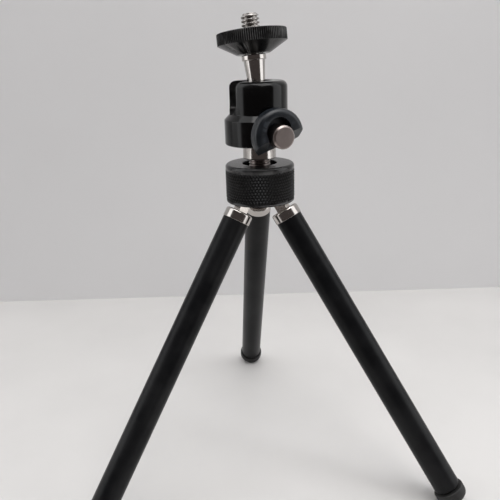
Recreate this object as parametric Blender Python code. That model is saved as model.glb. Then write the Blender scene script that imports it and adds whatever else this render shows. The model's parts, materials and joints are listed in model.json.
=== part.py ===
"""Mini tabletop tripod with a ball head, in metres, +Z up, standing on the floor at z = 0.

Run with: blender --background --python part.py
The legs stand spread against their stops, fully closed up, and the ball leans a few degrees.
The origin is the bottom centre of the whole object's box, so the head's axis lies a little in
front of it (towards -Y), because one leg points to the back and two to the front.
"""

import math

import bmesh
import bpy
from mathutils import Matrix, Vector

MM = 0.001

# Clearances
GAP = 0.3 * MM  # between pieces that touch, turn or swing
SLIP = 0.12 * MM  # radial, between telescoping tubes and their sleeves

# Legs
LEG_NAMES = {"rear": 90.0, "right": -30.0, "left": -150.0}  # azimuth of each leg in degrees
LEG_SPREAD = math.radians(32.7)  # from vertical, against the stop
TUBE_RADIUS = 5.0 * MM
TUBE_WALL = 0.55 * MM
TUBE_LENGTH = 119.8 * MM
TUBE_EDGE = 0.18 * MM  # chamfer round its lower end
TUBE_LIP = 1.2 * MM  # height of the end that is rolled in
SLEEVE_WALL = 0.35 * MM
SLEEVE_LENGTH = 9.0 * MM
MIDDLE_INSET = 18.0 * MM  # from the top of the outer tube to the top of the middle tube
INNER_INSET = 3.0 * MM  # from the top of the middle tube to the top of the inner tube
CAP_HEIGHT = 3.7 * MM
CAP_PROUD = 0.2 * MM  # the cap stands this much outside the tube
CAP_ROUND = 0.8 * MM
CAP_PLUG = 6.0 * MM
FOOT_PROUD = 0.75 * MM  # the foot stands this much outside the tube
FOOT_GAP = 0.9 * MM
FOOT_NECK_WALL = 0.4 * MM
FOOT_LENGTH = 5.6 * MM  # below the end of the outer tube
FOOT_ROUND = 2.2 * MM
FOOT_TREAD = 0.55  # the flat middle of the foot, as a share of FOOT_FLAT

# Leg joint
PIVOT_TO_TUBE = 9.45 * MM
TONGUE_THICK = 3.6 * MM
TONGUE_HALF = 2.1 * MM  # half its width, and the radius of its eye
TONGUE_SINK = 4.6 * MM  # how deep it sits in the cap
CLOSED_GAP = 0.26 * MM  # half the gap between two caps when the legs are folded together
PIN_RADIUS = 0.9 * MM
PIN_CLEARANCE = 0.22 * MM
PIN_END_WALL = 0.7 * MM  # from the end of a hinge pin to the outside of the hub

# Collar, hub and post
HUB_WALL = 0.9 * MM  # outside the tongue's eye
HUB_DROP = 1.7 * MM  # from the hinge pins to the underside of hub and collar
COLLAR_WALL = 3.2 * MM
COLLAR_HEIGHT = 13.95 * MM
COLLAR_WEB = 2.9 * MM
COLLAR_TOP_ROUND = 1.3 * MM
COLLAR_BOTTOM_ROUND = 0.6 * MM
COLLAR_RIM = 0.65 * MM  # wall left outside the friction ring
HUB_TOP_SPACE = 1.1 * MM
RING_THICK = 0.9 * MM
RING_INSET = 0.1 * MM  # from the underside of the collar to the ring
POST_RADIUS = 3.9 * MM
POST_FLOOR = 0.95 * MM  # hub left between the leg slots and the post

# Neck and ball housing
NECK_RADIUS = 6.05 * MM
NECK_COLLAR_SPACE = 1.9 * MM  # room above the collar for it to screw up
NECK_HEIGHT = 5.25 * MM
NECK_PLUG = 1.5 * MM  # the thread that goes into the housing
NECK_ROOF = 1.2 * MM
BALL_RADIUS = 6.5 * MM
BALL_SUNK = 0.6 * MM  # from the top of the ball to the top of the housing
HOUSING_WALL = 3.6 * MM  # round the ball
HOUSING_SKIRT = 2.0 * MM  # how far the lower part stands outside the upper part
HOUSING_LOWER = 8.8 * MM
HOUSING_STEP = 2.0 * MM
HOUSING_TOP_ROUND = 2.2 * MM
HOUSING_FOOT_ROUND = 0.5 * MM
MOUTH_SPARE = 0.2 * MM  # how much wider than the slot the mouth is, each way
MOUTH_ROUND = 1.0 * MM
SLOT_SPARE = 0.5 * MM  # room beside the stem in the slot
SLOT_AZIMUTH = math.radians(-167.7)

# Clamp
KNOB_AZIMUTH = math.radians(-70.0)
KNOB_RADIUS = 9.3 * MM
KNOB_THICK = 4.6 * MM
KNOB_ROUND = 0.8 * MM
KNOB_WEB = 1.4 * MM
KNOB_OPENING = 4.65 * MM
KNOB_OPENING_RISE = 2.0 * MM
KNOB_CUT_DROP = 4.2 * MM  # how much lower the wing's ends reach at its back
KNOB_TURN = math.radians(18.0)  # how far the wing is turned at rest
SPINDLE_RADIUS = 4.0 * MM
SPINDLE_PROUD = 2.6 * MM
SPINDLE_CHAMFER = 0.4 * MM
SPINDLE_THREAD = 2.4 * MM
SPINDLE_TIP = 3.0 * MM  # from the head's axis to the point of the spindle
SPINDLE_CONE = 1.6 * MM
WASHER_RADIUS = 4.6 * MM
WASHER_THICK = 0.6 * MM
SPOT_DEPTH = 0.9 * MM
CUP_HEIGHT = 4.0 * MM
CUP_FLOOR = 0.95 * MM
SPINDLE_TO_CUP = 0.35 * MM

# Head, measured along its own axis from the ball's centre
LEAN_TO_SLOT = math.radians(3.0)
LEAN_ACROSS = math.radians(6.1)
STEM_FOOT_RADIUS = 3.05 * MM
STEM_TOP_RADIUS = 3.8 * MM
STEM_SPIGOT = 1.9 * MM
STEM_SPIGOT_LENGTH = 4.0 * MM
STEM_SHOWN = 6.8 * MM  # from the top of the housing to the flange
FLANGE_HEIGHT = 1.8 * MM
FLANGE_RADIUS = 4.3 * MM
DISC_RADIUS = 12.3 * MM
DISC_RIM = 4.0 * MM
DISC_CONE = 3.5 * MM
DISC_FOOT_RADIUS = 5.95 * MM
SCREW_RADIUS = 3.15 * MM
SCREW_PROUD = 5.75 * MM
SCREW_CHAMFER = 0.6 * MM
SCREW_SPIGOT = 2.0 * MM
SCREW_SPIGOT_LENGTH = 4.0 * MM
PAD_THICK = 1.0 * MM
PAD_PROUD = 0.2 * MM
PAD_RIM = 1.1 * MM  # metal left outside the pad

# Sizes that follow from those above
CAP_RADIUS = TUBE_RADIUS + CAP_PROUD
FOOT_RADIUS = TUBE_RADIUS + FOOT_PROUD
BORE_RADIUS = TUBE_RADIUS - TUBE_WALL
MIDDLE_RADIUS = BORE_RADIUS - SLEEVE_WALL - 2 * SLIP
MIDDLE_BORE = MIDDLE_RADIUS - TUBE_WALL
INNER_RADIUS = MIDDLE_BORE - SLEEVE_WALL - 2 * SLIP
INNER_BORE = INNER_RADIUS - TUBE_WALL
PIVOT_RADIUS = (CAP_RADIUS + CLOSED_GAP) / math.cos(math.radians(30.0))
HUB_RADIUS = PIVOT_RADIUS + TONGUE_HALF + HUB_WALL
COLLAR_BORE = HUB_RADIUS + GAP
COLLAR_RADIUS = COLLAR_BORE + COLLAR_WALL
FOOT_CORNER = FOOT_LENGTH - FOOT_ROUND
FOOT_FLAT = FOOT_RADIUS - FOOT_ROUND
LEG_LENGTH = PIVOT_TO_TUBE + TUBE_LENGTH  # from the pivot to the end of the outer tube
PIVOT_HEIGHT = (
    (LEG_LENGTH + FOOT_CORNER) * math.cos(LEG_SPREAD) + FOOT_FLAT * math.sin(LEG_SPREAD) + FOOT_ROUND
)
COLLAR_BOTTOM = PIVOT_HEIGHT - HUB_DROP
COLLAR_TOP = COLLAR_BOTTOM + COLLAR_HEIGHT
HUB_TOP = COLLAR_TOP - COLLAR_WEB - HUB_TOP_SPACE
LEG_SLOT_TOP = PIVOT_HEIGHT + TONGUE_HALF + GAP
POST_BOTTOM = LEG_SLOT_TOP + POST_FLOOR
NECK_BOTTOM = COLLAR_TOP + NECK_COLLAR_SPACE
HOUSING_BOTTOM = NECK_BOTTOM + NECK_HEIGHT
CAVITY_RADIUS = BALL_RADIUS + GAP
BALL_BELOW_TOP = BALL_RADIUS + BALL_SUNK
HOUSING_RADIUS = CAVITY_RADIUS + HOUSING_WALL
SKIRT_RADIUS = HOUSING_RADIUS + HOUSING_SKIRT
SPINDLE_HEIGHT = HOUSING_BOTTOM + HOUSING_LOWER / 2
BALL_HEIGHT = SPINDLE_HEIGHT + SPINDLE_THREAD + SPINDLE_TO_CUP + CUP_FLOOR + CAVITY_RADIUS
HOUSING_TOP = BALL_HEIGHT + BALL_BELOW_TOP
SLOT_HALF = STEM_TOP_RADIUS + SLOT_SPARE
MOUTH_RADIUS = SLOT_HALF + MOUTH_SPARE
SPOT_FACE = SKIRT_RADIUS - SPOT_DEPTH
WASHER_BACK = SPOT_FACE + GAP
KNOB_BACK = WASHER_BACK + WASHER_THICK + GAP
KNOB_FRONT = KNOB_BACK + KNOB_THICK
BALL_FLAT = math.sqrt(BALL_RADIUS**2 - (STEM_FOOT_RADIUS + GAP / 2) ** 2)
STEM_FOOT = BALL_FLAT + GAP
FLANGE_FOOT = BALL_BELOW_TOP + STEM_SHOWN
DISC_FOOT = FLANGE_FOOT + FLANGE_HEIGHT + GAP
DISC_TOP = DISC_FOOT + DISC_CONE + DISC_RIM
PAD_BOTTOM = DISC_TOP + PAD_PROUD - PAD_THICK


def foot_reach(azimuth, direction):
    """How far a foot reaches from the head's axis along a horizontal direction, both in radians."""
    along = math.sin(LEG_SPREAD) * math.cos(azimuth - direction)
    centre = (PIVOT_RADIUS * math.cos(azimuth - direction)) + (LEG_LENGTH + FOOT_CORNER) * along
    return centre + FOOT_FLAT * math.sqrt(1 - along**2) + FOOT_ROUND


BACK_REACH = foot_reach(math.radians(90.0), math.radians(90.0))
FRONT_REACH = foot_reach(math.radians(-30.0), math.radians(-90.0))
AXIS_Y = (FRONT_REACH - BACK_REACH) / 2  # puts the origin in the middle of the object's depth

for old in list(bpy.data.objects):
    bpy.data.objects.remove(old, do_unlink=True)


# ---- Tools ---------------------------------------------------------------------------------


def finish(name, colour, roughness, metallic):
    material = bpy.data.materials.new(name)
    material.use_nodes = True
    shader = material.node_tree.nodes["Principled BSDF"]
    shader.inputs["Base Color"].default_value = (*colour, 1.0)
    shader.inputs["Roughness"].default_value = roughness
    shader.inputs["Metallic"].default_value = metallic
    return material


def frame(name, matrix, parent=None):
    """An empty that carries pieces and marks a joint's centre and axis."""
    empty = bpy.data.objects.new(name, None)
    bpy.context.scene.collection.objects.link(empty)
    empty.empty_display_size = 0.01
    empty.parent = parent
    empty.matrix_local = matrix
    return empty


def place(name, mesh_data, parent, material=None):
    piece = bpy.data.objects.new(name, mesh_data)
    bpy.context.scene.collection.objects.link(piece)
    piece.parent = parent
    if material:
        mesh_data.materials.append(material)
        mesh_data.shade_smooth()
        mesh_data.set_sharp_from_angle(angle=math.radians(35.0))
    else:
        piece.hide_render = True
        piece.display_type = "WIRE"
    return piece


def to_mesh(name, shape):
    bmesh.ops.recalc_face_normals(shape, faces=shape.faces)
    data = bpy.data.meshes.new(name)
    shape.to_mesh(data)
    shape.free()
    return data


def arc(centre_r, centre_z, radius, start, end, steps):
    """Points (r, z) on an arc, from one angle in degrees to another."""
    angles = [math.radians(start + (end - start) * i / steps) for i in range(steps + 1)]
    return [(centre_r + radius * math.cos(a), centre_z + radius * math.sin(a)) for a in angles]


def turned(name, outline, segments, turn=0.0):
    """A solid of revolution about Z. The outline is a closed loop of (r, z) points, and a loop
    that starts and ends on the axis is closed along it."""
    shape = bmesh.new()
    start = Matrix.Rotation(turn, 3, "Z")
    verts = [shape.verts.new(start @ Vector((max(r, 0.0), 0.0, z))) for r, z in outline]
    edges = [shape.edges.new((a, b)) for a, b in zip(verts, verts[1:])]
    if outline[0][0] > 0.0 or outline[-1][0] > 0.0:
        edges.append(shape.edges.new((verts[-1], verts[0])))
    bmesh.ops.spin(
        shape,
        geom=verts + edges,
        cent=(0.0, 0.0, 0.0),
        axis=(0.0, 0.0, 1.0),
        angle=2 * math.pi,
        steps=segments,
        use_merge=True,
    )
    bmesh.ops.remove_doubles(shape, verts=shape.verts, dist=1e-7)
    return to_mesh(name, shape)


def prism(name, outline, low, high):
    """A closed outline of (x, y) points carried along Z from low to high."""
    shape = bmesh.new()
    base = shape.faces.new([shape.verts.new((x, y, low)) for x, y in outline])
    grown = bmesh.ops.extrude_face_region(shape, geom=[base])
    top = [item for item in grown["geom"] if isinstance(item, bmesh.types.BMVert)]
    bmesh.ops.translate(shape, verts=top, vec=(0.0, 0.0, high - low))
    return to_mesh(name, shape)


def cut(piece, cutter):
    boolean = piece.modifiers.new(cutter.name, "BOOLEAN")
    boolean.operation = "DIFFERENCE"
    boolean.object = cutter


def rod(radius, low, high):
    return [(0.0, low), (radius, low), (radius, high), (0.0, high)]


def tube(radius, bore, low, high):
    return [(bore, low), (radius, low), (radius, high), (bore, high)]


def sideways(azimuth, height):
    """A frame whose Z axis points level along an azimuth, with its Y axis up."""
    return (
        Matrix.Translation((0.0, 0.0, height))
        @ Matrix.Rotation(azimuth + math.radians(90.0), 4, "Z")
        @ Matrix.Rotation(math.radians(90.0), 4, "X")
    )


# ---- Finishes ------------------------------------------------------------------------------

satin_black = finish("satin_black_aluminium", (0.018, 0.019, 0.021), 0.38, 0.0)
gloss_black = finish("gloss_black_enamel", (0.010, 0.010, 0.011), 0.16, 0.0)
knurl_black = finish("knurled_black_metal", (0.014, 0.014, 0.015), 0.34, 0.2)
black_plastic = finish("black_plastic", (0.022, 0.025, 0.031), 0.32, 0.0)
black_rubber = finish("black_rubber", (0.020, 0.020, 0.020), 0.75, 0.0)
nickel = finish("bright_nickel", (0.72, 0.69, 0.65), 0.16, 1.0)
steel = finish("turned_steel", (0.56, 0.52, 0.49), 0.30, 1.0)
brass = finish("brass", (0.68, 0.50, 0.24), 0.32, 1.0)
white_nylon = finish("white_nylon", (0.80, 0.79, 0.75), 0.50, 0.0)

# ---- Frames of the joints ------------------------------------------------------------------

axis_frame = frame("head_axis", Matrix.Translation((0.0, AXIS_Y, 0.0)))

# ---- Legs ----------------------------------------------------------------------------------
# Each leg is drawn hanging straight down from its hinge pin, then swung out to its place.

TUBE_TOP = -PIVOT_TO_TUBE
TUBE_END = -LEG_LENGTH
MIDDLE_TOP = TUBE_TOP - MIDDLE_INSET
MIDDLE_END = TUBE_END - GAP
INNER_TOP = MIDDLE_TOP - INNER_INSET
INNER_END = MIDDLE_END - GAP
LEG_SEGMENTS = 24
FOOT_SOCKET = 2.0 * MM  # how deep the inner tube stands in the foot


def tongue_outline():
    """Side view of the hinge tongue: a round eye at the top, then a straight blade."""
    eye = arc(0.0, 0.0, TONGUE_HALF, 0.0, 180.0, 10)
    foot = TUBE_TOP + CAP_HEIGHT - TONGUE_SINK
    return eye + [(-TONGUE_HALF, foot), (TONGUE_HALF, foot)]


def pin_mesh(name, radius, half):
    return turned(name, rod(radius, -half, half), 16)


def across(matrix):
    """Lays a shape's Z axis along Y, and its Y axis along Z."""
    return matrix @ Matrix.Rotation(math.radians(90.0), 4, "X")


def stage_tube(radius, bore, top, end):
    """A drawn tube whose lower end is rolled in round the next tube."""
    lip = bore - SLEEVE_WALL - SLIP
    return [
        (lip, end),
        (radius - TUBE_EDGE, end),
        (radius, end + TUBE_EDGE),
        (radius, top),
        (bore, top),
        (bore, end + TUBE_LIP),
        (lip, end + TUBE_LIP - TUBE_WALL / 2),
    ]


def foot_outline():
    neck = INNER_RADIUS + GAP + FOOT_NECK_WALL
    end = TUBE_END - FOOT_LENGTH
    shoulder = TUBE_END - FOOT_GAP
    socket = INNER_RADIUS + GAP
    return [
        (0.0, end),
        (FOOT_FLAT * FOOT_TREAD, end),
        *arc(FOOT_FLAT, end + FOOT_ROUND, FOOT_ROUND, -90.0, 0.0, 4),
        *arc(FOOT_RADIUS - GAP, shoulder - GAP, GAP, 0.0, 90.0, 2),
        (neck, shoulder),
        (socket, shoulder),
        (socket, shoulder - FOOT_SOCKET - GAP),
        (0.0, shoulder - FOOT_SOCKET - GAP),
    ]


def cap_outline():
    top = TUBE_TOP + CAP_HEIGHT
    plug = BORE_RADIUS - GAP
    return [
        (0.0, TUBE_TOP - CAP_PLUG),
        (plug, TUBE_TOP - CAP_PLUG),
        (plug, TUBE_TOP + GAP),
        (CAP_RADIUS, TUBE_TOP + GAP),
        *arc(CAP_RADIUS - CAP_ROUND, top - CAP_ROUND, CAP_ROUND, 0.0, 90.0, 3),
        (0.0, top),
    ]


def build_leg(side, azimuth):
    hinge = frame(
        f"{side}_hinge",
        Matrix.Rotation(azimuth, 4, "Z")
        @ Matrix.Translation((PIVOT_RADIUS, 0.0, PIVOT_HEIGHT))
        @ Matrix.Rotation(-LEG_SPREAD, 4, "Y"),
        axis_frame,
    )

    def turned_piece(part, outline, material):
        name = f"{side}_{part}"
        return place(name, turned(name, outline, LEG_SEGMENTS), hinge, material)

    name = f"{side}_tongue"
    half = TONGUE_THICK / 2
    tongue = place(name, prism(name, tongue_outline(), -half, half), hinge, nickel)
    tongue.matrix_local = across(Matrix.Identity(4))
    hole = place(f"{name}_hole", pin_mesh("hole", PIN_RADIUS + PIN_CLEARANCE, TONGUE_THICK), hinge)
    hole.matrix_local = across(Matrix.Identity(4))
    cut(tongue, hole)

    cap = turned_piece("cap", cap_outline(), nickel)
    wide = TONGUE_HALF + GAP / 2
    floor = TUBE_TOP + CAP_HEIGHT - TONGUE_SINK - GAP
    slot = [(-wide, floor), (wide, floor), (wide, 0.0), (-wide, 0.0)]
    thick = half + GAP / 2
    cap_slot = place(f"{side}_cap_slot", prism("cap_slot", slot, -thick, thick), hinge)
    cap_slot.matrix_local = across(Matrix.Identity(4))
    cut(cap, cap_slot)

    turned_piece("outer_tube", stage_tube(TUBE_RADIUS, BORE_RADIUS, TUBE_TOP, TUBE_END), satin_black)
    turned_piece(
        "middle_tube", stage_tube(MIDDLE_RADIUS, MIDDLE_BORE, MIDDLE_TOP, MIDDLE_END), nickel
    )
    turned_piece("inner_tube", tube(INNER_RADIUS, INNER_BORE, INNER_END - FOOT_SOCKET, INNER_TOP), nickel)
    turned_piece(
        "middle_sleeve",
        tube(BORE_RADIUS - SLIP, MIDDLE_RADIUS + SLIP, MIDDLE_TOP - SLEEVE_LENGTH, MIDDLE_TOP),
        brass,
    )
    turned_piece(
        "inner_sleeve",
        tube(MIDDLE_BORE - SLIP, INNER_RADIUS + SLIP, INNER_TOP - SLEEVE_LENGTH, INNER_TOP),
        brass,
    )
    turned_piece("foot", foot_outline(), black_rubber)

    half_pin = math.sqrt(HUB_RADIUS**2 - PIVOT_RADIUS**2) - PIN_END_WALL
    name = f"{side}_hinge_pin"
    pin = place(name, pin_mesh(name, PIN_RADIUS, half_pin), hinge, steel)
    pin.matrix_local = across(Matrix.Identity(4))


for leg_name, leg_azimuth in LEG_NAMES.items():
    build_leg(leg_name, math.radians(leg_azimuth))

# ---- Hub, friction ring, collar and post -----------------------------------------------------


def build_hub():
    post_bore = POST_RADIUS + GAP
    outline = [
        (0.0, COLLAR_BOTTOM),
        (HUB_RADIUS - GAP, COLLAR_BOTTOM),
        (HUB_RADIUS, COLLAR_BOTTOM + GAP),
        (HUB_RADIUS, HUB_TOP - GAP),
        (HUB_RADIUS - GAP, HUB_TOP),
        (post_bore, HUB_TOP),
        (post_bore, POST_BOTTOM - GAP),
        (0.0, POST_BOTTOM - GAP),
    ]
    hub = place("leg_hub", turned("leg_hub", outline, 36), axis_frame, nickel)
    thick = TONGUE_THICK / 2 + GAP
    inner = PIVOT_RADIUS - TONGUE_HALF - GAP
    outer = 2 * HUB_RADIUS
    low = COLLAR_BOTTOM - HUB_RADIUS
    slot = [(inner, low), (outer, low), (outer, LEG_SLOT_TOP), (inner, LEG_SLOT_TOP)]
    for side, azimuth in LEG_NAMES.items():
        turn = Matrix.Rotation(math.radians(azimuth), 4, "Z")
        slot_cut = place(f"{side}_hub_slot", prism("hub_slot", slot, -thick, thick), axis_frame)
        slot_cut.matrix_local = across(turn)
        cut(hub, slot_cut)
        hole = pin_mesh("hole", PIN_RADIUS + PIN_CLEARANCE, 2 * HUB_RADIUS)
        hole_cut = place(f"{side}_hub_hole", hole, axis_frame)
        hole_cut.matrix_local = across(turn @ Matrix.Translation((PIVOT_RADIUS, 0.0, PIVOT_HEIGHT)))
        cut(hub, hole_cut)


def tongue_reach():
    """The radius to which a spread tongue reaches at the underside of the collar."""
    rise = HUB_DROP + TONGUE_HALF * math.sin(LEG_SPREAD)
    return PIVOT_RADIUS + TONGUE_HALF * math.cos(LEG_SPREAD) + rise * math.tan(LEG_SPREAD)


def build_collar():
    ring_outer = COLLAR_RADIUS - COLLAR_RIM - GAP
    ring_inner = tongue_reach() + GAP / math.cos(LEG_SPREAD)
    ring_low = COLLAR_BOTTOM + RING_INSET
    ring = tube(ring_outer, ring_inner, ring_low, ring_low + RING_THICK)
    place("friction_ring", turned("friction_ring", ring, 36), axis_frame, white_nylon)

    hole = NECK_RADIUS + GAP
    shoulder = ring_low + RING_THICK + GAP
    roof = COLLAR_TOP - COLLAR_WEB
    outline = [
        (ring_outer + GAP, COLLAR_BOTTOM),
        *arc(
            COLLAR_RADIUS - COLLAR_BOTTOM_ROUND,
            COLLAR_BOTTOM + COLLAR_BOTTOM_ROUND,
            COLLAR_BOTTOM_ROUND,
            -90.0,
            0.0,
            2,
        ),
        *arc(
            COLLAR_RADIUS - COLLAR_TOP_ROUND,
            COLLAR_TOP - COLLAR_TOP_ROUND,
            COLLAR_TOP_ROUND,
            0.0,
            90.0,
            4,
        ),
        (hole + GAP, COLLAR_TOP),
        (hole, COLLAR_TOP - GAP),
        (hole, roof),
        (COLLAR_BORE, roof),
        (COLLAR_BORE, shoulder),
        (ring_outer + GAP, shoulder),
    ]
    place("knurled_collar", turned("knurled_collar", outline, 48), axis_frame, knurl_black)


def build_post():
    top = HOUSING_BOTTOM + NECK_PLUG - NECK_ROOF - GAP
    chamfer = POST_RADIUS - GAP
    outline = [
        (0.0, POST_BOTTOM),
        (chamfer, POST_BOTTOM),
        (POST_RADIUS, POST_BOTTOM + GAP),
        (POST_RADIUS, top - GAP),
        (chamfer, top),
        (0.0, top),
    ]
    place("centre_post", turned("centre_post", outline, 24), axis_frame, steel)


build_hub()
build_collar()
build_post()

# ---- Neck bush and ball housing --------------------------------------------------------------


def build_neck():
    plug = CAVITY_RADIUS - GAP
    bore = POST_RADIUS + GAP
    top = HOUSING_BOTTOM + NECK_PLUG
    outline = [
        (bore, NECK_BOTTOM),
        (NECK_RADIUS - GAP, NECK_BOTTOM),
        (NECK_RADIUS, NECK_BOTTOM + GAP),
        (NECK_RADIUS, HOUSING_BOTTOM),
        (plug, HOUSING_BOTTOM),
        (plug, top),
        (0.0, top),
        (0.0, top - NECK_ROOF),
        (bore, top - NECK_ROOF),
    ]
    place("neck_bush", turned("neck_bush", outline, 36), axis_frame, nickel)


def build_housing():
    dome = math.degrees(math.acos(MOUTH_RADIUS / CAVITY_RADIUS))
    outline = [
        (CAVITY_RADIUS, HOUSING_BOTTOM),
        *arc(
            SKIRT_RADIUS - HOUSING_FOOT_ROUND,
            HOUSING_BOTTOM + HOUSING_FOOT_ROUND,
            HOUSING_FOOT_ROUND,
            -90.0,
            0.0,
            2,
        ),
        (SKIRT_RADIUS, HOUSING_BOTTOM + HOUSING_LOWER),
        (HOUSING_RADIUS, HOUSING_BOTTOM + HOUSING_LOWER + HOUSING_STEP),
        *arc(
            HOUSING_RADIUS - HOUSING_TOP_ROUND,
            HOUSING_TOP - HOUSING_TOP_ROUND,
            HOUSING_TOP_ROUND,
            0.0,
            90.0,
            4,
        ),
        *arc(MOUTH_RADIUS + MOUTH_ROUND, HOUSING_TOP - MOUTH_ROUND, MOUTH_ROUND, 90.0, 180.0, 3),
        *arc(0.0, BALL_HEIGHT, CAVITY_RADIUS, dome, 0.0, 4),
    ]
    housing = place("ball_housing", turned("ball_housing", outline, 48), axis_frame, gloss_black)

    slot = arc(0.0, 0.0, SLOT_HALF, 0.0, -180.0, 10)
    slot += [(-SLOT_HALF, 2 * BALL_BELOW_TOP), (SLOT_HALF, 2 * BALL_BELOW_TOP)]
    slot_cut = place("housing_slot", prism("slot", slot, 0.0, 2 * HOUSING_RADIUS), axis_frame)
    slot_cut.matrix_local = sideways(SLOT_AZIMUTH, BALL_HEIGHT)
    cut(housing, slot_cut)

    hole = turned("hole", rod(SPINDLE_THREAD + GAP, 0.0, 2 * SKIRT_RADIUS), 16)
    hole_cut = place("spindle_hole", hole, axis_frame)
    hole_cut.matrix_local = sideways(KNOB_AZIMUTH, SPINDLE_HEIGHT)
    cut(housing, hole_cut)

    spot = turned("spot", rod(WASHER_RADIUS + GAP, SPOT_FACE, 2 * SKIRT_RADIUS), 24)
    spot_cut = place("spot_face", spot, axis_frame)
    spot_cut.matrix_local = sideways(KNOB_AZIMUTH, SPINDLE_HEIGHT)
    cut(housing, spot_cut)


build_neck()
build_housing()

# ---- Ball clamp: plunger and cup under the ball, spindle, knob and washer ----------------------

PLUNGER_BOTTOM = HOUSING_BOTTOM + NECK_PLUG + GAP
CUP_BOTTOM = BALL_HEIGHT - CAVITY_RADIUS - CUP_FLOOR


def build_plunger():
    top = CUP_BOTTOM - GAP
    radius = CAVITY_RADIUS - GAP
    outline = [
        (0.0, PLUNGER_BOTTOM),
        (radius - GAP, PLUNGER_BOTTOM),
        (radius, PLUNGER_BOTTOM + GAP),
        (radius, top),
        (0.0, top),
    ]
    plunger = place("clamp_plunger", turned("clamp_plunger", outline, 28), axis_frame, brass)
    pocket = [
        (0.0, SPINDLE_TIP - GAP),
        (SPINDLE_THREAD / 2 + GAP, SPINDLE_TIP - GAP),
        (SPINDLE_THREAD + GAP, SPINDLE_TIP + SPINDLE_CONE - GAP),
        (SPINDLE_THREAD + GAP, 2 * SKIRT_RADIUS),
        (0.0, 2 * SKIRT_RADIUS),
    ]
    pocket_cut = place("plunger_pocket", turned("pocket", pocket, 16), axis_frame)
    pocket_cut.matrix_local = sideways(KNOB_AZIMUTH, SPINDLE_HEIGHT)
    cut(plunger, pocket_cut)


def build_cup():
    top = CUP_BOTTOM + CUP_HEIGHT
    rim = math.degrees(math.asin((top - BALL_HEIGHT) / CAVITY_RADIUS))
    outline = [
        (0.0, CUP_BOTTOM),
        (CAVITY_RADIUS - GAP, CUP_BOTTOM),
        (CAVITY_RADIUS - GAP, top),
        *arc(0.0, BALL_HEIGHT, CAVITY_RADIUS, rim, -90.0, 5),
    ]
    place("ball_cup", turned("ball_cup", outline, 28), axis_frame, white_nylon)


def build_clamp():
    turn = Matrix.Rotation(KNOB_TURN, 4, "Z")
    clamp = frame("clamp_axis", sideways(KNOB_AZIMUTH, SPINDLE_HEIGHT), axis_frame)

    washer = tube(WASHER_RADIUS, SPINDLE_THREAD + GAP, WASHER_BACK, WASHER_BACK + WASHER_THICK)
    place("knob_washer", turned("knob_washer", washer, 24), clamp, steel)

    head = KNOB_BACK + KNOB_WEB + GAP
    end = KNOB_FRONT + SPINDLE_PROUD
    outline = [
        (0.0, SPINDLE_TIP),
        (SPINDLE_THREAD / 2, SPINDLE_TIP),
        (SPINDLE_THREAD, SPINDLE_TIP + SPINDLE_CONE),
        (SPINDLE_THREAD, head),
        (SPINDLE_RADIUS, head),
        (SPINDLE_RADIUS, end - SPINDLE_CHAMFER),
        (SPINDLE_RADIUS - SPINDLE_CHAMFER, end),
        (0.0, end),
    ]
    place("clamp_spindle", turned("clamp_spindle", outline, 24), clamp, steel)

    body = [
        (0.0, KNOB_BACK),
        (KNOB_RADIUS, KNOB_BACK),
        *arc(KNOB_RADIUS - KNOB_ROUND, KNOB_FRONT - KNOB_ROUND, KNOB_ROUND, 0.0, 90.0, 3),
        (0.0, KNOB_FRONT),
    ]
    knob = place("wing_knob", turned("wing_knob", body, 40), clamp, black_plastic)
    far = 2 * KNOB_RADIUS
    hole = place("knob_hole", turned("hole", rod(SPINDLE_THREAD + GAP, 0.0, far + KNOB_FRONT), 16), clamp)
    cut(knob, hole)
    opening = arc(0.0, KNOB_OPENING_RISE, KNOB_OPENING, 0.0, 180.0, 12)
    opening += [(-KNOB_OPENING, -far), (KNOB_OPENING, -far)]
    floor = KNOB_BACK + KNOB_WEB
    recess = place("knob_opening", prism("opening", opening, floor, floor + far), clamp)
    recess.matrix_local = turn
    cut(knob, recess)
    slope = [
        (KNOB_FRONT, 0.0),
        (KNOB_BACK, -KNOB_CUT_DROP),
        (KNOB_BACK - KNOB_THICK, -2 * KNOB_CUT_DROP),
        (KNOB_BACK - KNOB_THICK, -far),
        (KNOB_FRONT + KNOB_THICK, -far),
        (KNOB_FRONT + KNOB_THICK, KNOB_CUT_DROP),
    ]
    ends = place("knob_ends", prism("ends", slope, -far, far), clamp)
    # the outline's X runs along the clamp's axis and its Y across the wing
    ends.matrix_local = turn @ Matrix(((0, 0, 1, 0), (0, 1, 0, 0), (1, 0, 0, 0), (0, 0, 0, 1)))
    cut(knob, ends)


build_plunger()
build_cup()
build_clamp()

# ---- Ball, stem, camera screw, disc and pad, drawn upright and then leaned ---------------------


def head_matrix():
    """The ball's centre, with Z along the leaning stem."""
    to_slot = Vector((math.cos(SLOT_AZIMUTH), math.sin(SLOT_AZIMUTH), 0.0))
    to_side = Vector((math.sin(SLOT_AZIMUTH), -math.cos(SLOT_AZIMUTH), 0.0))
    up = to_slot * math.tan(LEAN_TO_SLOT) + to_side * math.tan(LEAN_ACROSS) + Vector((0, 0, 1))
    lean = Vector((0.0, 0.0, 1.0)).rotation_difference(up.normalized())
    return Matrix.Translation((0.0, 0.0, BALL_HEIGHT)) @ lean.to_matrix().to_4x4()


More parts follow.
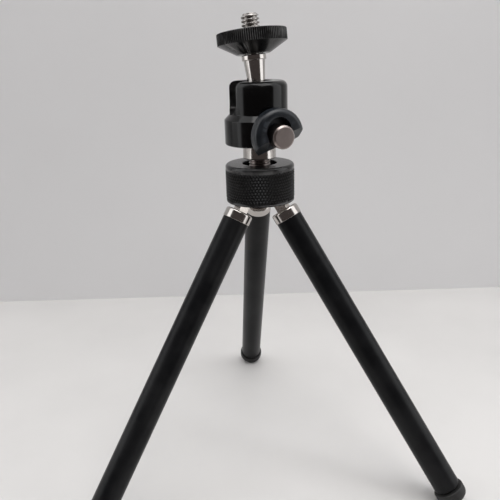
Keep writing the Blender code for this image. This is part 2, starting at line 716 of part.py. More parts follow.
def build_head():
    head = frame("ball_centre", head_matrix(), axis_frame)

    flat = math.degrees(math.asin(BALL_FLAT / BALL_RADIUS))
    socket = STEM_SPIGOT + GAP
    ball = [
        *arc(0.0, 0.0, BALL_RADIUS, -90.0, flat, 12),
        (socket, BALL_FLAT),
        (socket, STEM_FOOT - STEM_SPIGOT_LENGTH - GAP),
        (0.0, STEM_FOOT - STEM_SPIGOT_LENGTH - GAP),
    ]
    place("ball", turned("ball", ball, 28), head, nickel)

    flange_top = FLANGE_FOOT + FLANGE_HEIGHT
    screw_hole = SCREW_SPIGOT + GAP
    screw_floor = flange_top - SCREW_SPIGOT_LENGTH
    stem = [
        (0.0, STEM_FOOT - STEM_SPIGOT_LENGTH),
        (STEM_SPIGOT, STEM_FOOT - STEM_SPIGOT_LENGTH),
        (STEM_SPIGOT, STEM_FOOT),
        (STEM_FOOT_RADIUS, STEM_FOOT),
        (STEM_TOP_RADIUS, FLANGE_FOOT),
        (FLANGE_RADIUS, FLANGE_FOOT),
        (FLANGE_RADIUS, flange_top),
        (screw_hole, flange_top),
        (screw_hole, screw_floor - GAP),
        (0.0, screw_floor - GAP),
    ]
    place("stem", turned("stem", stem, 24), head, nickel)

    screw_top = DISC_TOP + SCREW_PROUD
    screw = [
        (0.0, screw_floor),
        (SCREW_SPIGOT, screw_floor),
        (SCREW_SPIGOT, flange_top + GAP),
        (SCREW_RADIUS, flange_top + GAP),
        (SCREW_RADIUS, screw_top - SCREW_CHAMFER),
        (SCREW_RADIUS - SCREW_CHAMFER, screw_top),
        (0.0, screw_top),
    ]
    place("camera_screw", turned("camera_screw", screw, 24), head, nickel)

    bore = SCREW_RADIUS + GAP
    pad_edge = DISC_RADIUS - PAD_RIM
    disc = [
        (bore, DISC_FOOT),
        (DISC_FOOT_RADIUS, DISC_FOOT),
        (DISC_RADIUS - GAP, DISC_FOOT + DISC_CONE),
        (DISC_RADIUS, DISC_FOOT + DISC_CONE + GAP),
        (DISC_RADIUS, DISC_TOP - GAP),
        (DISC_RADIUS - GAP, DISC_TOP),
        (pad_edge, DISC_TOP),
        (pad_edge, PAD_BOTTOM - GAP),
        (bore, PAD_BOTTOM - GAP),
    ]
    place("platform_disc", turned("platform_disc", disc, 48), head, knurl_black)

    pad = tube(pad_edge - GAP, bore + GAP, PAD_BOTTOM, PAD_BOTTOM + PAD_THICK)
    place("camera_pad", turned("camera_pad", pad, 40), head, black_rubber)


build_head()
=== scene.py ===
import json
import math

import bmesh
import bpy
from mathutils import Matrix, Vector


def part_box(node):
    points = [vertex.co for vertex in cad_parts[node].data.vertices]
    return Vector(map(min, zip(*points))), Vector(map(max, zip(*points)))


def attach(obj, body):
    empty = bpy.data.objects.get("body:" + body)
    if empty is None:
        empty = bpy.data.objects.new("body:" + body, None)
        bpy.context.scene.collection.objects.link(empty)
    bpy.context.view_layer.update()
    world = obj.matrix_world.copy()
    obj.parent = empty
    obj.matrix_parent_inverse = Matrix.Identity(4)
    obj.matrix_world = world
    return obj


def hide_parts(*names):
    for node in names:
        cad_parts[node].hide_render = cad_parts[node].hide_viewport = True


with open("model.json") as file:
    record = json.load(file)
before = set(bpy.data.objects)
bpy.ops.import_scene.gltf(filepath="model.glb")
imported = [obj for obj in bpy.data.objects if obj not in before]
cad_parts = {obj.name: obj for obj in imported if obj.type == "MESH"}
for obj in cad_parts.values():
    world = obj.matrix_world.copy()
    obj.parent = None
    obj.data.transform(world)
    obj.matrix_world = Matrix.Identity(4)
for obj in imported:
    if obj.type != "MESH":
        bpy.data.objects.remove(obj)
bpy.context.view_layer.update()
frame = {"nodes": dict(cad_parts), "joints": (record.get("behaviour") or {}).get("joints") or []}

# ---- Outer leg tubes -------------------------------------------------------------------------
# Three drawn aluminium tubes, 10 mm across, anodised satin black. The lower end of each is
# rolled in round the next tube, and the die leaves fine lines along its length.

MM = 0.001
SIDES = ("left", "right", "rear")
joints = {j["name"]: j for j in frame["joints"]}


def lying_along(point, axis, across=None):
    """A place at a point, with Z along an axis and Y as near as may be to another direction."""
    z = Vector(axis).normalized()
    y = Vector(across) if across else z.orthogonal()
    y = (y - z * y.dot(z)).normalized()
    place = Matrix((y.cross(z), y, z)).transposed().to_4x4()
    place.translation = Vector(point)
    return place


def rounded(corners, closed, steps=5):
    """An outline of (r, z, radius) corners in millimetres as (r, z) points, each corner eased
    by its radius. A corner with no radius stays sharp."""
    points = []
    count = len(corners)
    for i, (r, z, *radius) in enumerate(corners):
        here = Vector((r, z))
        if not radius or (not closed and i in (0, count - 1)):
            points.append((r, z))
            continue
        before = Vector(corners[i - 1][:2]) - here
        after = Vector(corners[(i + 1) % count][:2]) - here
        angle = before.angle(after)
        most = 0.48 * min(before.length, after.length) * math.tan(angle / 2)
        size = min(radius[0], most)
        before, after = before.normalized(), after.normalized()
        centre = here + (before + after).normalized() * size / math.sin(angle / 2)
        start = here + before * size / math.tan(angle / 2) - centre
        end = here + after * size / math.tan(angle / 2) - centre
        sweep = start.angle(end)
        for k in range(steps + 1):
            s = k / steps
            spoke = start * math.sin((1 - s) * sweep) + end * math.sin(s * sweep)
            points.append(tuple(centre + spoke / math.sin(sweep)))
    return points


def skinned(name, rings, closed, leans_back=None):
    """A mesh over rings of points in millimetres, where a ring of one point is a pole. Where
    leans_back(row, column) answers, that cell is split along the crease it names."""
    shape = bmesh.new()
    made = [[shape.verts.new([c * MM for c in point]) for point in ring] for ring in rings]
    for row, (low, high) in enumerate(zip(made, made[1:] + (made[:1] if closed else []))):
        for k in range(max(len(low), len(high))):
            a, b = low[k % len(low)], low[(k + 1) % len(low)]
            c, d = high[(k + 1) % len(high)], high[k % len(high)]
            lean = leans_back(row, k) if leans_back else None
            if lean is None:
                face = shape.faces.new(list(dict.fromkeys((a, b, c, d))))
                face.smooth = True
            elif lean:
                shape.faces.new((a, b, c))
                shape.faces.new((a, c, d))
            else:
                shape.faces.new((a, b, d))
                shape.faces.new((b, c, d))
    bmesh.ops.recalc_face_normals(shape, faces=shape.faces)
    mesh = bpy.data.meshes.new(name)
    shape.to_mesh(mesh)
    shape.free()
    return mesh


def circle(r, z, count):
    if r < 1e-6:
        return [(0.0, 0.0, z)]
    turns = [2 * math.pi * k / count for k in range(count)]
    return [(r * math.cos(t), r * math.sin(t), z) for t in turns]


def turned(name, corners, count=72):
    """A piece turned about Z from an outline in millimetres, open where it starts on the axis."""
    closed = corners[0][0] > 1e-6
    return skinned(name, [circle(r, z, count) for r, z in rounded(corners, closed)], closed)


def laid_out(name, mesh):
    piece = bpy.data.objects.new(name, mesh)
    bpy.context.scene.collection.objects.link(piece)
    return piece


def fitted(piece, place, body, slot, finish, *nodes):
    """Puts a piece in its place on the body it moves with, in its finish."""
    piece.matrix_world = place
    piece.data.materials.clear()
    piece.data.materials.append(finish)
    if not any(m.type == "WEIGHTED_NORMAL" for m in piece.modifiers):
        flat_first = piece.modifiers.new("even_shading", "WEIGHTED_NORMAL")
        flat_first.keep_sharp = True
    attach(piece, body)
    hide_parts(*nodes)
    return piece


def group_of(name, inputs, outputs):
    """An empty shader group with named sockets, and its two end nodes."""
    group = bpy.data.node_groups.new(name, "ShaderNodeTree")
    for label, kind, value in inputs:
        socket = group.interface.new_socket(name=label, in_out="INPUT", socket_type=kind)
        socket.default_value = value
    for label, kind in outputs:
        group.interface.new_socket(name=label, in_out="OUTPUT", socket_type=kind)
    return group, group.nodes.new("NodeGroupInput"), group.nodes.new("NodeGroupOutput")


def noise_in(group, vector, scale, detail):
    noise = group.nodes.new("ShaderNodeTexNoise")
    noise.inputs["Detail"].default_value = detail
    noise.inputs["Roughness"].default_value = 0.6
    group.links.new(vector, noise.inputs["Vector"])
    group.links.new(scale, noise.inputs["Scale"])
    return noise.outputs["Fac"]


def math_in(group, kind, first, second, third=None):
    node = group.nodes.new("ShaderNodeMath")
    node.operation = kind
    for socket, value in zip(node.inputs, (first, second, third)):
        if value is None:
            continue
        if isinstance(value, (int, float)):
            socket.default_value = value
        else:
            group.links.new(value, socket)
    return node.outputs["Value"]


def surface_lines():
    """Fine tool lines or grain, and the broad uneven patches that handling leaves. With Rings at
    1 the lines run round the piece's own Z axis, as a lathe leaves them."""
    group, ends, out = group_of(
        "surface_lines",
        [
            ("Place", "NodeSocketVector", (0, 0, 0)),
            ("Stretch", "NodeSocketVector", (1, 1, 1)),
            ("Fineness", "NodeSocketFloat", 3000.0),
            ("Patch Size", "NodeSocketFloat", 150.0),
            ("Rings", "NodeSocketFloat", 0.0),
        ],
        [("Height", "NodeSocketFloat"), ("Patches", "NodeSocketFloat")],
    )
    split = group.nodes.new("ShaderNodeSeparateXYZ")
    group.links.new(ends.outputs["Place"], split.inputs[0])
    x, y, z = (split.outputs[axis] for axis in "XYZ")
    along_x, along_y = math_in(group, "MULTIPLY", x, x), math_in(group, "MULTIPLY", y, y)
    square = math_in(group, "ADD", along_x, along_y)
    polar = group.nodes.new("ShaderNodeCombineXYZ")
    group.links.new(math_in(group, "SQRT", square, 0.0), polar.inputs["X"])
    group.links.new(z, polar.inputs["Y"])
    which = group.nodes.new("ShaderNodeMix")
    which.data_type = "VECTOR"
    group.links.new(ends.outputs["Rings"], which.inputs["Factor"])
    group.links.new(ends.outputs["Place"], which.inputs["A"])
    group.links.new(polar.outputs["Vector"], which.inputs["B"])
    drawn = group.nodes.new("ShaderNodeVectorMath")
    drawn.operation = "MULTIPLY"
    group.links.new(which.outputs["Result"], drawn.inputs[0])
    group.links.new(ends.outputs["Stretch"], drawn.inputs[1])
    height = noise_in(group, drawn.outputs["Vector"], ends.outputs["Fineness"], 3.0)
    patches = noise_in(group, ends.outputs["Place"], ends.outputs["Patch Size"], 4.0)
    group.links.new(height, out.inputs["Height"])
    group.links.new(patches, out.inputs["Patches"])
    return group


def worn_and_highlit_edges():
    """Colour and roughness of a finish, uneven in patches and rubbed through along its edges.
    On the blackened metal the lighter edge colour is a painted highlight along the crests.
    """
    group, ends, out = group_of(
        "worn_and_highlit_edges",
        [
            ("Colour", "NodeSocketColor", (0.5, 0.5, 0.5, 1)),
            ("Worn Colour", "NodeSocketColor", (0.7, 0.7, 0.7, 1)),
            ("Roughness", "NodeSocketFloat", 0.3),
            ("Spread", "NodeSocketFloat", 0.1),
            ("Worn Roughness", "NodeSocketFloat", 0.3),
            ("Wear", "NodeSocketFloat", 0.5),
            ("Edge", "NodeSocketFloat", 0.5),
            ("Patches", "NodeSocketFloat", 0.5),
            ("Unevenness", "NodeSocketFloat", 0.3),
        ],
        [
            ("Colour", "NodeSocketColor"),
            ("Roughness", "NodeSocketFloat"),
            ("Worn", "NodeSocketFloat"),
        ],
    )
    come = ends.outputs
    # edges picked out by pointiness take the worn colour; on the blackened metal that colour is a
    # painted highlight
    edge = group.nodes.new("ShaderNodeMapRange")
    edge.inputs["From Min"].default_value = 0.512
    edge.inputs["From Max"].default_value = 0.560
    group.links.new(come["Edge"], edge.inputs["Value"])
    rubbed = group.nodes.new("ShaderNodeMapRange")
    rubbed.inputs["From Min"].default_value = 0.40
    rubbed.inputs["From Max"].default_value = 0.62
    group.links.new(come["Patches"], rubbed.inputs["Value"])
    worn_and_highlit = math_in(group, "MULTIPLY", edge.outputs["Result"], rubbed.outputs["Result"])
    worn_and_highlit = math_in(group, "MULTIPLY", worn_and_highlit, come["Wear"])
    shift = math_in(group, "SUBTRACT", come["Patches"], 0.5)
    shade = math_in(group, "MULTIPLY_ADD", shift, come["Unevenness"], 1.0)
    tone = group.nodes.new("ShaderNodeVectorMath")
    tone.operation = "SCALE"
    group.links.new(come["Colour"], tone.inputs["Vector"])
    group.links.new(shade, tone.inputs["Scale"])
    colour = group.nodes.new("ShaderNodeMix")
    colour.data_type = "RGBA"
    group.links.new(worn_and_highlit, colour.inputs["Factor"])
    group.links.new(tone.outputs["Vector"], colour.inputs[6])
    group.links.new(come["Worn Colour"], colour.inputs[7])
    rough = math_in(group, "MULTIPLY_ADD", shift, come["Spread"], come["Roughness"])
    roughness = group.nodes.new("ShaderNodeMix")
    group.links.new(worn_and_highlit, roughness.inputs["Factor"])
    group.links.new(rough, roughness.inputs["A"])
    group.links.new(come["Worn Roughness"], roughness.inputs["B"])
    group.links.new(colour.outputs[2], out.inputs["Colour"])
    group.links.new(roughness.outputs["Result"], out.inputs["Roughness"])
    group.links.new(worn_and_highlit, out.inputs["Worn"])
    return group


lines_group = surface_lines()
wear_and_highlight_group = worn_and_highlit_edges()


def finish_of(name, colour, metallic, roughness, spread, lines, edge_wear_and_highlight, bump, coat=0.0, **more):
    """A finish: its colour, how its roughness spreads, its lines as (stretch, fineness, rings,
    patch size), its edge wear as (colour, roughness, amount), which on the blackened metal is a
    painted highlight, and its bump as (strength, depth in millimetres)."""
    material = bpy.data.materials.new(name)
    material.use_nodes = True
    tree = material.node_tree
    shader = tree.nodes["Principled BSDF"]
    shader.inputs["Metallic"].default_value = metallic
    shader.inputs["Coat Weight"].default_value = coat
    shader.inputs["Coat Roughness"].default_value = more.get("coat_roughness", 0.03)
    shader.inputs["Specular IOR Level"].default_value = more.get("specular", 0.5)
    place = tree.nodes.new("ShaderNodeTexCoord")
    geometry = tree.nodes.new("ShaderNodeNewGeometry")
    marks = tree.nodes.new("ShaderNodeGroup")
    marks.node_tree = lines_group
    tree.links.new(place.outputs["Object"], marks.inputs["Place"])
    marks.inputs["Stretch"].default_value = lines[0]
    marks.inputs["Fineness"].default_value = lines[1]
    marks.inputs["Rings"].default_value = lines[2]
    marks.inputs["Patch Size"].default_value = lines[3]
    # the edge colour is wear on most finishes and a painted highlight on the blackened metal
    worn_and_highlit = tree.nodes.new("ShaderNodeGroup")
    worn_and_highlit.node_tree = wear_and_highlight_group
    worn_and_highlit.inputs["Colour"].default_value = (*colour, 1)
    worn_and_highlit.inputs["Worn Colour"].default_value = (*edge_wear_and_highlight[0], 1)
    worn_and_highlit.inputs["Worn Roughness"].default_value = edge_wear_and_highlight[1]
    worn_and_highlit.inputs["Wear"].default_value = edge_wear_and_highlight[2]
    worn_and_highlit.inputs["Roughness"].default_value = roughness
    worn_and_highlit.inputs["Spread"].default_value = spread
    worn_and_highlit.inputs["Unevenness"].default_value = more.get("unevenness", 0.4)
    tree.links.new(geometry.outputs["Pointiness"], worn_and_highlit.inputs["Edge"])
    tree.links.new(marks.outputs["Patches"], worn_and_highlit.inputs["Patches"])
    tree.links.new(worn_and_highlit.outputs["Colour"], shader.inputs["Base Color"])
    tree.links.new(worn_and_highlit.outputs["Roughness"], shader.inputs["Roughness"])
    relief = tree.nodes.new("ShaderNodeBump")
    relief.inputs["Strength"].default_value = bump[0]
    relief.inputs["Distance"].default_value = bump[1] * MM
    tree.links.new(marks.outputs["Height"], relief.inputs["Height"])
    tree.links.new(relief.outputs["Normal"], shader.inputs["Normal"])
    return material


satin_black_tube = finish_of(
    "satin_black_anodising",
    colour=(0.006, 0.0062, 0.007),
    metallic=0.0,
    roughness=0.30,
    spread=0.05,
    lines=((1, 1, 0.03), 2600.0, 0.0, 70.0),
    edge_wear_and_highlight=((0.10, 0.10, 0.10), 0.35, 0.3),
    bump=(0.06, 0.04),
    specular=0.11,
    unevenness=0.3,
)

TUBE_RADIUS, TUBE_BORE, TUBE_LIP = 5.0, 4.45, 3.98
TUBE_TOP, TUBE_END = -9.45, -129.25
ROLL_HIGH, ROLL_LOW = 1.2, 0.9  # inside of the rolled end, at the wall and at the lip

legs = {}
for side in SIDES:
    fold, slide = joints[f"{side}_leg_fold"], joints[f"{side}_middle_slide"]
    legs[side] = lying_along(fold["pos_m"], -Vector(slide["axis"]), fold["axis"])
    outer = turned(
        f"{side}_black_tube",
        [
            (TUBE_LIP, TUBE_END, 0.12),
            (TUBE_RADIUS, TUBE_END, 0.45),
            (TUBE_RADIUS, TUBE_TOP, 0.06),
            (TUBE_BORE, TUBE_TOP, 0.05),
            (TUBE_BORE, TUBE_END + ROLL_HIGH, 0.2),
            (TUBE_LIP, TUBE_END + ROLL_LOW, 0.1),
        ],
    )
    fitted(
        laid_out(f"{side}_black_tube", outer),
        legs[side],
        f"{side}_leg",
        "black_tube",
        satin_black_tube,
        f"{side}_outer_tube",
    )

# ---- Middle and inner leg tubes --------------------------------------------------------------
# Two more tubes slide out of each leg, each drawn brass with bright nickel plate. They are
# pushed right in at rest, so that only their ends and the foot show.

bright_nickel = finish_of(
    "bright_nickel_plate",
    colour=(0.49, 0.465, 0.445),
    metallic=1.0,
    roughness=0.15,
    spread=0.10,
    lines=((1, 1, 1), 5200.0, 1.0, 260.0),
    edge_wear_and_highlight=((0.56, 0.50, 0.40), 0.30, 0.25),
    bump=(0.08, 0.04),
    unevenness=0.2,
)

MIDDLE_RADIUS, MIDDLE_BORE, MIDDLE_LIP = 3.86, 3.31, 2.84
MIDDLE_TOP, MIDDLE_END = -27.45, -129.55
INNER_RADIUS, INNER_BORE = 2.72, 2.17
INNER_TOP, INNER_END = -30.45, -131.85

for side in SIDES:
    middle = turned(
        f"{side}_middle_stage",
        [
            (MIDDLE_LIP, MIDDLE_END, 0.1),
            (MIDDLE_RADIUS, MIDDLE_END, 0.35),
            (MIDDLE_RADIUS, MIDDLE_TOP, 0.06),
            (MIDDLE_BORE, MIDDLE_TOP, 0.05),
            (MIDDLE_BORE, MIDDLE_END + ROLL_HIGH, 0.2),
            (MIDDLE_LIP, MIDDLE_END + ROLL_LOW, 0.1),
        ],
        56,
    )
    fitted(
        laid_out(f"{side}_middle_stage", middle),
        legs[side],
        f"{side}_middle",
        "nickel",
        bright_nickel,
        f"{side}_middle_tube",
    )
    inner = turned(
        f"{side}_inner_stage",
        [
            (INNER_BORE, INNER_END, 0.05),
            (INNER_RADIUS, INNER_END, 0.1),
            (INNER_RADIUS, INNER_TOP, 0.06),
            (INNER_BORE, INNER_TOP, 0.05),
        ],
        48,
    )
    fitted(
        laid_out(f"{side}_inner_stage", inner),
        legs[side],
        f"{side}_inner",
        "nickel",
        bright_nickel,
        f"{side}_inner_tube",
    )

# ---- Friction sleeves ------------------------------------------------------------------------
# A split brass sleeve pressed on the top of each sliding tube holds it by friction. They sit
# inside the legs, and the solids' own shapes stay, in plain brass with a dull drawn surface.

rubbed_brass = finish_of(
    "rubbed_brass",
    colour=(0.60, 0.43, 0.19),
    metallic=1.0,
    roughness=0.34,
    spread=0.16,
    lines=((1, 1, 0.05), 2400.0, 0.0, 300.0),
    edge_wear_and_highlight=((0.78, 0.60, 0.32), 0.2, 0.6),
    bump=(0.12, 0.05),
)


def refinished(node, finish):
    """A solid that keeps its own shape and takes a finish."""
    mesh = frame["nodes"][node].data
    mesh.materials.clear()
    mesh.materials.append(finish)


for side in SIDES:
    refinished(f"{side}_middle_sleeve", rubbed_brass)
    refinished(f"{side}_inner_sleeve", rubbed_brass)

# ---- Rubber feet -----------------------------------------------------------------------------
# A moulded black rubber foot is pressed on the end of each inner tube, a little wider than the
# leg, with a rounded lower edge and a fine matt texture from its mould.

matt_rubber = finish_of(
    "matt_black_rubber",
    colour=(0.012, 0.012, 0.012),
    metallic=0.0,
    roughness=0.62,
    spread=0.25,
    lines=((1, 1, 1), 4200.0, 0.0, 500.0),
    edge_wear_and_highlight=((0.07, 0.068, 0.065), 0.8, 0.5),
    bump=(0.35, 0.08),
    specular=0.4,
)

FOOT_RADIUS, FOOT_SHOULDER, FOOT_END = 5.75, -130.15, -134.85
SOCKET_RADIUS, SOCKET_FLOOR = 3.02, -132.45

for side in SIDES:
    rubber = turned(
        f"{side}_rubber_foot",
        [
            (0.0, FOOT_END),
            (0.9, FOOT_END, 0.15),
            (1.1, FOOT_END + 0.15, 0.15),
            (1.3, FOOT_END, 0.1),
            (FOOT_RADIUS, FOOT_END, 2.2),
            (FOOT_RADIUS, FOOT_SHOULDER, 0.4),
            (SOCKET_RADIUS, FOOT_SHOULDER, 0.1),
            (SOCKET_RADIUS, SOCKET_FLOOR),
            (0.0, SOCKET_FLOOR),
        ],
    )
    fitted(
        laid_out(f"{side}_rubber_foot", rubber),
        legs[side],
        f"{side}_inner",
        "black_rubber",
        matt_rubber,
        f"{side}_foot",
    )

# ---- Leg caps --------------------------------------------------------------------------------
# A turned and nickel-plated cap plugs the top of each leg. Its flat end has a slot, in which
# the hinge tongue is brazed.

CAP_RADIUS, CAP_TOP, CAP_PLUG = 5.2, -5.75, 4.15
CAP_SEAT, PLUG_END = -9.4, -15.45
SLOT_WIDE, SLOT_THICK, SLOT_FLOOR = 2.22, 1.90, -10.65


def block(name, low, high):
    """A plain box between two corners, in millimetres, to cut with."""
    shape = bmesh.new()
    middle = (Vector(low) + Vector(high)) / 2 * MM
    size = (Vector(high) - Vector(low)) * MM
    bmesh.ops.create_cube(shape, size=1.0)
    bmesh.ops.scale(shape, vec=size, verts=shape.verts)
    bmesh.ops.translate(shape, vec=middle, verts=shape.verts)
    mesh = bpy.data.meshes.new(name)
    shape.to_mesh(mesh)
    shape.free()
    return laid_out(name, mesh)


def carved(piece, *cutters):
    """Cuts the cutters away from a piece for good, and clears them away."""
    for cutter in cutters:
        cut = piece.modifiers.new("cut", "BOOLEAN")
        cut.operation = "DIFFERENCE"
        cut.solver = "EXACT"
        cut.object = cutter
    bpy.context.view_layer.update()
    evaluated = piece.evaluated_get(bpy.context.evaluated_depsgraph_get())
    piece.data = bpy.data.meshes.new_from_object(evaluated)
    piece.modifiers.clear()
    for cutter in cutters:
        bpy.data.objects.remove(cutter)
    return piece


def eased(piece, width, steps=3):
    """Rounds the edges that a cutter or a press leaves sharp."""
    piece.data.shade_smooth()
    edge = piece.modifiers.new("eased_edges", "BEVEL")
    edge.width = width * MM
    edge.segments = steps
    edge.limit_method = "ANGLE"
    edge.angle_limit = math.radians(32.0)
    edge.use_clamp_overlap = True
    return piece


for side in SIDES:
    cap = turned(
        f"{side}_plated_cap",
        [
            (0.0, PLUG_END),
            (CAP_PLUG, PLUG_END, 0.3),
            (CAP_PLUG, CAP_SEAT),
            (CAP_RADIUS, CAP_SEAT, 0.15),
            (CAP_RADIUS, CAP_TOP, 0.8),
            (0.0, CAP_TOP),
        ],
    )
    low, high = (-SLOT_WIDE, -SLOT_THICK, SLOT_FLOOR), (SLOT_WIDE, SLOT_THICK, 0.0)
    cap = carved(laid_out(f"{side}_plated_cap", cap), block("cap_slot", low, high))
    fitted(
        eased(cap, 0.12),
        legs[side],
        f"{side}_leg",
        "nickel",
        bright_nickel,
        f"{side}_cap",
    )

# ---- Hinge tongues ---------------------------------------------------------------------------
# Each leg hangs from the hub on a flat tongue with a round eye. It is cut from steel bar, with
# its edges tumbled smooth, and nickel plated, so it has no turning lines.

plated_bar = finish_of(
    "plated_steel_bar",
    colour=(0.63, 0.59, 0.56),
    metallic=1.0,
    roughness=0.22,
    spread=0.14,
    lines=((1, 1, 0.2), 3000.0, 0.0, 420.0),
    edge_wear_and_highlight=((0.50, 0.44, 0.36), 0.35, 0.3),
    bump=(0.10, 0.05),
    unevenness=0.25,
)

TONGUE_HALF, TONGUE_THICK, TONGUE_END = 2.1, 3.6, -10.35
PIN_HOLE = 1.12


def plate(name, outline, low, high):
    """A flat plate from an outline of (x, y) in millimetres, from one height to another."""
    shape = bmesh.new()
    base = shape.faces.new([shape.verts.new((x * MM, y * MM, low * MM)) for x, y in outline])
    grown = bmesh.ops.extrude_face_region(shape, geom=[base])
    top = [part for part in grown["geom"] if isinstance(part, bmesh.types.BMVert)]
    bmesh.ops.translate(shape, verts=top, vec=(0, 0, (high - low) * MM))
    bmesh.ops.recalc_face_normals(shape, faces=shape.faces)
    mesh = bpy.data.meshes.new(name)
    shape.to_mesh(mesh)
    shape.free()
    return laid_out(name, mesh)


def arch(x, y, radius, first, last, steps):
    """Points of an arc in millimetres and degrees."""
    turns = [math.radians(first + (last - first) * k / steps) for k in range(steps + 1)]
    return [(x + radius * math.cos(t), y + radius * math.sin(t)) for t in turns]


def stood_up(piece):
    """Turns a plate drawn flat so that its height runs along Y and its Y along Z."""
    piece.data.transform(Matrix.Rotation(math.radians(90.0), 4, "X"))
    return piece


for side in SIDES:
    outline = arch(0.0, 0.0, TONGUE_HALF, 0.0, 180.0, 28)
    outline += [(-TONGUE_HALF, TONGUE_END), (TONGUE_HALF, TONGUE_END)]
    tongue = plate(f"{side}_plated_tongue", outline, -TONGUE_THICK / 2, TONGUE_THICK / 2)
    bar = [(0.0, -4.0), (PIN_HOLE, -4.0), (PIN_HOLE, 4.0), (0.0, 4.0)]
    drill = laid_out("drill", turned("drill", bar, 32))
    tongue = stood_up(carved(tongue, drill))
    fitted(
        eased(tongue, 0.22),
        legs[side],
        f"{side}_leg",
        "nickel",
        plated_bar,
        f"{side}_tongue",
    )

# ---- Hinge pins ------------------------------------------------------------------------------
# A short turned steel pin runs across each slot of the hub, through the eye of a tongue.

turned_steel = finish_of(
    "turned_steel",
    colour=(0.30, 0.255, 0.24),
    metallic=1.0,
    roughness=0.30,
    spread=0.12,
    lines=((1, 1, 1), 3600.0, 1.0, 300.0),
    edge_wear_and_highlight=((0.68, 0.65, 0.62), 0.18, 0.7),
    bump=(0.16, 0.05),
    unevenness=0.25,
)

PIN_RADIUS, PIN_HALF = 0.9, 6.1

for side in SIDES:
    pin = turned(
        f"{side}_steel_pin",
        [
            (0.0, -PIN_HALF),
            (PIN_RADIUS, -PIN_HALF, 0.2),
            (PIN_RADIUS, PIN_HALF, 0.2),
            (0.0, PIN_HALF),
        ],
        32,
    )
    fold = joints[f"{side}_leg_fold"]
    fitted(
        laid_out(f"{side}_steel_pin", pin),
        lying_along(fold["pos_m"], fold["axis"]),
        "centre",
        "steel",
        turned_steel,
        f"{side}_hinge_pin",
    )

# ---- Leg hub ---------------------------------------------------------------------------------
# A turned and nickel-plated hub holds the three tongues in milled slots, and the threaded post
# stands in its top. The collar hides all of it but its underside.

centre = sum(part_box("centre_post"), Vector()) / 2
HUB_RADIUS, HUB_HEIGHT, POST_BORE, BORE_FLOOR = 9.3, 9.95, 4.2, 4.75
HUB_SLOT, SLOT_INNER, SLOT_TOP = 2.1, 3.9, 4.1


def upright_at(node):
    """The foot of a node that stands on the head's upright axis."""
    return Matrix.Translation((centre.x, centre.y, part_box(node)[0].z))


hub = turned(
    "slotted_hub",
    [
        (0.0, 0.0),
        (HUB_RADIUS, 0.0, 0.3),
        (HUB_RADIUS, HUB_HEIGHT, 0.3),
        (POST_BORE, HUB_HEIGHT, 0.3),
        (POST_BORE, BORE_FLOOR),
        (0.0, BORE_FLOOR),
    ],
)
hub_place = upright_at("leg_hub")
cutters = []
for side in SIDES:
    pivot = hub_place.inverted() @ Vector(joints[f"{side}_leg_fold"]["pos_m"])
    turn = Matrix.Rotation(math.atan2(pivot.y, pivot.x), 4, "Z")
    slot = block("hub_slot", (SLOT_INNER, -HUB_SLOT, -6.0), (14.0, HUB_SLOT, SLOT_TOP))
    slot.data.transform(turn)
    bar = [(0.0, -6.3), (PIN_HOLE, -6.3), (PIN_HOLE, 6.3), (0.0, 6.3)]
    drill = stood_up(laid_out("drill", turned("drill", bar, 32)))
    drill.data.transform(Matrix.Translation(pivot) @ turn)
    cutters += [slot, drill]
fitted(
    eased(carved(laid_out("slotted_hub", hub), *cutters), 0.15),
    hub_place,
    "centre",
    "nickel",
    bright_nickel,
    "leg_hub",
)

# ---- Friction ring ---------------------------------------------------------------------------
# A flat ring of natural nylon sits in the collar's underside. Screwed down, it presses on the
# legs' caps and locks their spread.

natural_nylon = finish_of(
    "natural_nylon",
    colour=(0.74, 0.73, 0.68),
    metallic=0.0,
    roughness=0.46,
    spread=0.14,
    lines=((1, 1, 1), 1800.0, 1.0, 260.0),
    edge_wear_and_highlight=((0.40, 0.39, 0.36), 0.6, 0.5),
    bump=(0.15, 0.05),
    unevenness=0.12,
)

RING_INNER, RING_OUTER, RING_THICK = 10.25, 11.85, 0.9

ring = turned(
    "nylon_ring",
    [
        (RING_INNER, 0.0, 0.12),
        (RING_OUTER, 0.0, 0.12),
        (RING_OUTER, RING_THICK, 0.12),
        (RING_INNER, RING_THICK, 0.12),
    ],
)
fitted(
    laid_out("nylon_ring", ring),
    upright_at("friction_ring"),
    "collar_ring",
    "nylon",
    natural_nylon,
    "friction_ring",
)

# ---- Knurled collar --------------------------------------------------------------------------
# A turned collar, blackened and diamond knurled all round for a good grip, screws down on the
# post. Its shoulder and top are left smooth and shine a little more than the knurling.

# The blackened metal's lighter edge colour is a painted highlight on the crests of the collar's
# knurling and of the disc's ridges.
knurl_black_with_painted_highlights = finish_of(
    "blackened_metal_with_painted_highlights",
    colour=(0.006, 0.006, 0.0063),
    metallic=0.0,
    roughness=0.22,
    spread=0.06,
    lines=((1, 1, 1), 3400.0, 1.0, 120.0),
    # painted highlight: a lighter grey along the crests stands in for their shine
    edge_wear_and_highlight=((0.13, 0.13, 0.13), 0.26, 0.9),
    bump=(0.05, 0.03),
    specular=0.34,
)

COLLAR_RADIUS, COLLAR_HEIGHT, COLLAR_HOLE = 12.8, 13.95, 6.35
COLLAR_ROOF, COLLAR_BORE, RING_SEAT, SEAT_DEPTH = 11.05, 9.6, 12.15, 1.3
KNURL_LOW, KNURL_HIGH, KNURL_DEPTH = 0.75, 11.65, 0.42
DIAMONDS, DIAMOND_TALL = 68, 2.12  # round the collar, and the height of one in millimetres
KNURL_STEPS = 4  # cells each way in one diamond

